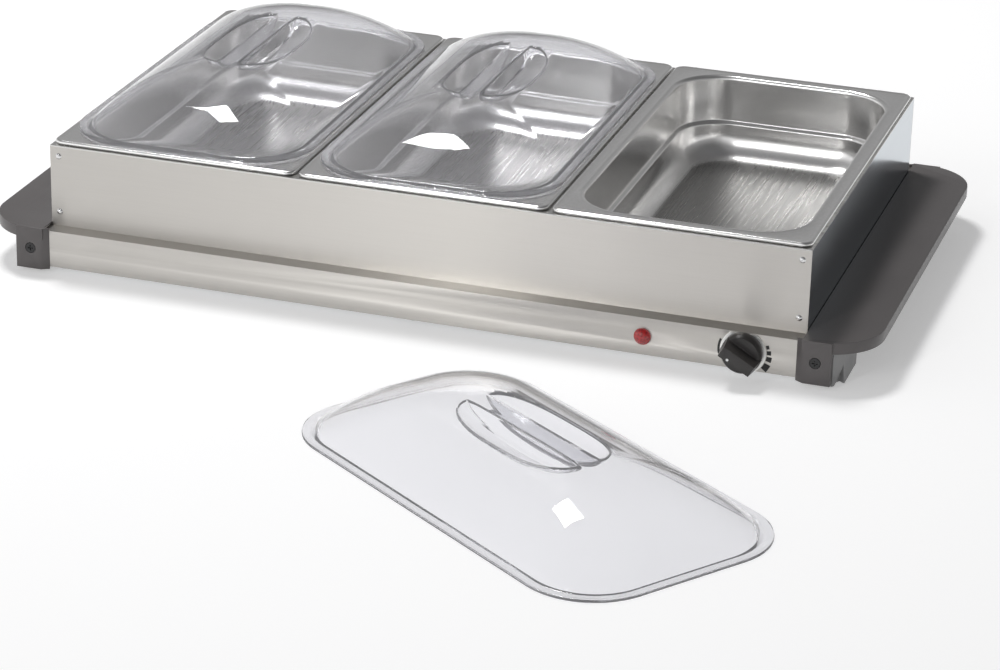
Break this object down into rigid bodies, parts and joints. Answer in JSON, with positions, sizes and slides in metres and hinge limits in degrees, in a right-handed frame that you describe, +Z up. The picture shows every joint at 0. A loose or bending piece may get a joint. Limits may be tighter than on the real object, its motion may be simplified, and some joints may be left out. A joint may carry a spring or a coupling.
{
  "type": "electric food warmer tray",
  "caption": "Flat electric warming tray with end handles, a front heat knob and lamp, and a lift-off frame that holds food pans with clear domed lids.",
  "frame": {"origin": "on the surface that the set stands on, in the middle of the ground that the warmer and the loose lid cover", "axes": "+X to the right along the front, +Y to the rear, +Z up"},
  "size_m": [0.623, 0.6868, 0.1271],
  "materials": {
    "satin_steel": "satin stainless steel sheet",
    "bright_steel": "bright stainless steel",
    "pan_steel": "polished stainless steel, brushed bottom",
    "zinc_steel": "zinc-plated steel",
    "spreader": "mill aluminium",
    "element_sheath": "heat-darkened steel sheath",
    "insulation": "needled glass-fibre pad",
    "ceramic": "glazed ceramic",
    "ivory_plastic": "moulded heat-resistant plastic",
    "wire_sleeve": "silicone wire sleeve",
    "brass": "plain brass",
    "dark_plastic": "charcoal moulded plastic",
    "grey_plastic": "grey moulded plastic",
    "black_screw": "black oxide",
    "red_lens": "glossy red lens",
    "black_print": "black print",
    "white_print": "white inlay",
    "clear_plastic": "clear moulded plastic"
  },
  "bodies": {
    "base": {"tray_shell": "satin_steel", "bottom_plate": "zinc_steel", "bottom_screws": "zinc_steel", "heat_spreader": "spreader", "spreader_studs": "zinc_steel", "stud_nuts": "zinc_steel", "heating_element": "element_sheath", "element_clips": "zinc_steel", "insulation_pad": "insulation", "thermostat_body": "ceramic", "thermostat_nut": "zinc_steel", "thermal_fuse": "ceramic", "terminal_block": "ivory_plastic", "wiring": "wire_sleeve", "earth_stud": "brass", "cord_gland": "dark_plastic", "gland_nut": "dark_plastic", "lamp_lens": "red_lens", "lamp_holder": "ivory_plastic", "lamp_clip": "zinc_steel", "dial_ring": "bright_steel", "dial_scale": "black_print", "left_handle": "dark_plastic", "right_handle": "dark_plastic", "handle_screws": "black_screw", "feet": "grey_plastic"},
    "knob": {"control_knob": "dark_plastic", "knob_dot": "white_print", "thermostat_shaft": "bright_steel"},
    "pan_frame": {"frame_front_panel": "satin_steel", "frame_rear_panel": "satin_steel", "frame_left_panel": "bright_steel", "frame_right_panel": "bright_steel", "frame_top": "satin_steel", "divider_bars": "satin_steel", "frame_rivets": "bright_steel"},
    "left_pan_body": {"left_pan": "pan_steel"},
    "centre_pan_body": {"centre_pan": "pan_steel"},
    "right_pan_body": {"right_pan": "pan_steel"},
    "left_lid_body": {"left_lid": "clear_plastic"},
    "centre_lid_body": {"centre_lid": "clear_plastic"},
    "loose_lid_body": {"loose_lid": "clear_plastic"}
  },
  "joints": [
    {"name": "knob_turn", "type": "hinge", "parent": "base", "child": "knob", "pos_m": [0.22655, -0.00288, 0.0175], "axis": [0, 1, 0], "range_deg": [0, 230]},
    {"name": "frame_lift", "type": "slide", "parent": "base", "child": "pan_frame", "axis": [0, 0, 1], "range_m": [0, 0.12]},
    {"name": "left_pan_lift", "type": "slide", "parent": "pan_frame", "child": "left_pan_body", "axis": [0, 0, 1], "range_m": [0, 0.12]},
    {"name": "centre_pan_lift", "type": "slide", "parent": "pan_frame", "child": "centre_pan_body", "axis": [0, 0, 1], "range_m": [0, 0.12]},
    {"name": "right_pan_lift", "type": "slide", "parent": "pan_frame", "child": "right_pan_body", "axis": [0, 0, 1], "range_m": [0, 0.12]},
    {"name": "left_lid_lift", "type": "slide", "parent": "left_pan_body", "child": "left_lid_body", "axis": [0, 0, 1], "range_m": [0, 0.12]},
    {"name": "centre_lid_lift", "type": "slide", "parent": "centre_pan_body", "child": "centre_lid_body", "axis": [0, 0, 1], "range_m": [0, 0.12]},
    {"name": "loose_lid_lift", "type": "slide", "parent": "base", "child": "loose_lid_body", "axis": [0, 0, 1], "range_m": [0, 0.12]}
  ]
}
